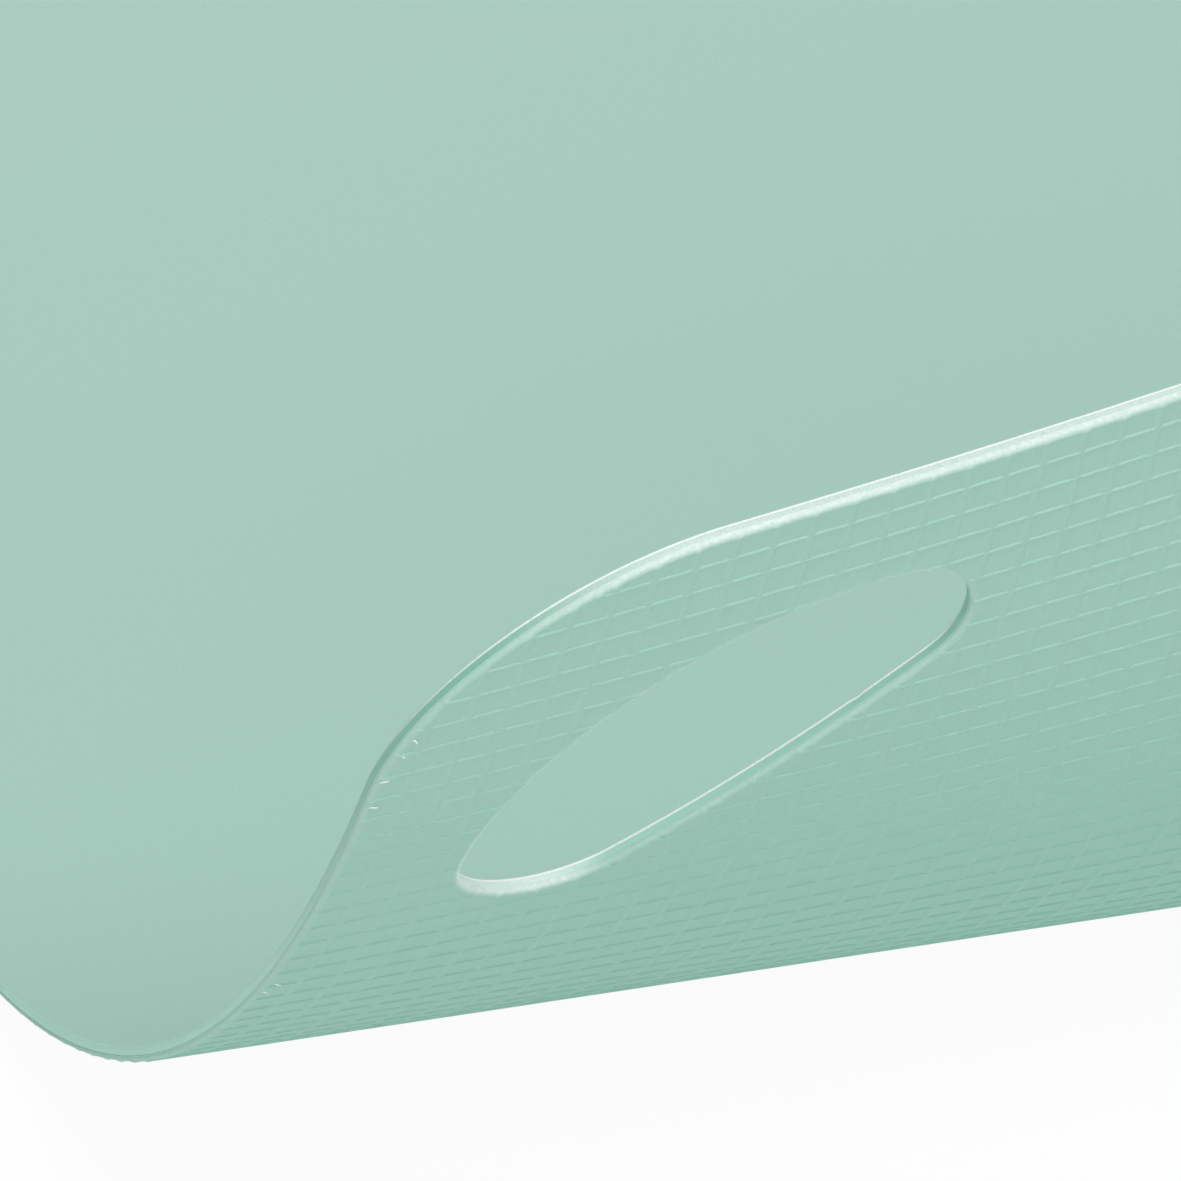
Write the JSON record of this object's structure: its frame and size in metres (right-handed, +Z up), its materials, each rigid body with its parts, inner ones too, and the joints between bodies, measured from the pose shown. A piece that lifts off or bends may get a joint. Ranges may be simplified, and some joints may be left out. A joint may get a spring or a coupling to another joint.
{
  "type": "flexible cutting mat",
  "caption": "Flexible mint-green kitchen cutting mat, smooth on top and ribbed below, with a hand hole in a rounded corner and one end curled up.",
  "frame": {"origin": "on the surface that the mat lies on, under the middle of the bent mat's outline box", "axes": "+X across the mat away from the hand hole, +Y along the mat away from the curled end, +Z up from the cutting face"},
  "size_m": [0.2816, 0.3276, 0.1538],
  "materials": {
    "cutting_face": "smooth satin, slightly translucent mint-green plastic",
    "grip_face": "satin mint-green plastic with a fine raised waffle of ribs"
  },
  "bodies": {
    "root": {"cutting_layer": "cutting_face", "grip_layer": "grip_face"}
  },
  "joints": []
}
